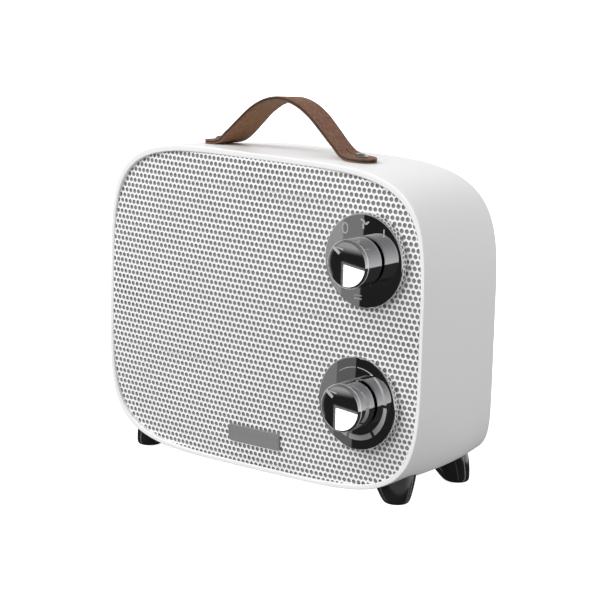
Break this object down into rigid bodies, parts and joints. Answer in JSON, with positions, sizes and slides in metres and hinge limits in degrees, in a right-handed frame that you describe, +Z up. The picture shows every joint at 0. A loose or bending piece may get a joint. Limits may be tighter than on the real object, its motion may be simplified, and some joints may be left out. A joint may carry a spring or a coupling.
{
  "type": "ceramic space heater",
  "caption": "Retro tabletop ceramic fan heater with a domed perforated front, mirror-black dials, a leather strap handle and splayed feet.",
  "frame": {"origin": "on the standing surface, under the middle of the overall box", "axes": "+X to the right seen from the front, the front grille faces -Y, +Z up"},
  "size_m": [0.2478, 0.1097, 0.2374],
  "materials": {
    "white_plastic": "satin",
    "white_steel": "satin",
    "black_chrome": "mirror",
    "black_gloss": "gloss",
    "black_plastic": "matte",
    "grey_badge": "satin",
    "brown_leather": "matte",
    "steel": "satin",
    "brass": "satin",
    "ceramic_fins": "satin",
    "mica": "matte"
  },
  "bodies": {
    "case": {"air_duct": "black_plastic", "badge_plate": "grey_badge", "bulkhead": "steel", "case_shell": "white_plastic", "control_bracket": "steel", "cord_gland": "black_plastic", "cover_screw_lower_left": "steel", "cover_screw_lower_right": "steel", "cover_screw_upper_left": "steel", "cover_screw_upper_right": "steel", "fan_motor": "steel", "foot_front_left": "black_gloss", "foot_front_right": "black_gloss", "foot_rear_left": "black_gloss", "foot_rear_right": "black_gloss", "foot_screw_front_left": "steel", "foot_screw_front_right": "steel", "foot_screw_rear_left": "steel", "foot_screw_rear_right": "steel", "front_grille": "white_steel", "grille_frame": "white_plastic", "motor_mount": "black_plastic", "power_escutcheon": "black_chrome", "power_nut": "steel", "ptc_element": "ceramic_fins", "ptc_frame": "mica", "rear_cover": "white_plastic", "rotary_switch": "black_plastic", "strap_lining": "brown_leather", "strap_outer": "brown_leather", "strap_stud_left": "steel", "strap_stud_right": "steel", "stud_nut_left": "brass", "stud_nut_right": "brass", "terminal_block": "white_plastic", "thermal_cutout": "steel", "thermal_fuse": "brass", "thermostat_body": "black_plastic", "thermostat_escutcheon": "black_chrome", "thermostat_nut": "steel", "tip_over_switch": "black_plastic"},
    "power_dial": {"power_knob": "black_chrome", "power_shaft": "steel"},
    "thermostat_dial": {"thermostat_knob": "black_chrome", "thermostat_shaft": "steel"},
    "fan": {"fan_impeller": "black_plastic", "motor_shaft": "steel"}
  },
  "joints": [
    {"name": "power_turn", "type": "hinge", "parent": "case", "child": "power_dial", "pos_m": [0.0829, -0.0359, 0.1491], "axis": [0, 1, 0], "range_deg": [0, 226]},
    {"name": "thermostat_turn", "type": "hinge", "parent": "case", "child": "thermostat_dial", "pos_m": [0.081, -0.0359, 0.0619], "axis": [0, 1, 0], "range_deg": [0, 255]},
    {"name": "fan_spin", "type": "hinge", "parent": "case", "child": "fan", "pos_m": [-0.033, 0.0268, 0.105], "axis": [0, 1, 0], "continuous": true}
  ]
}
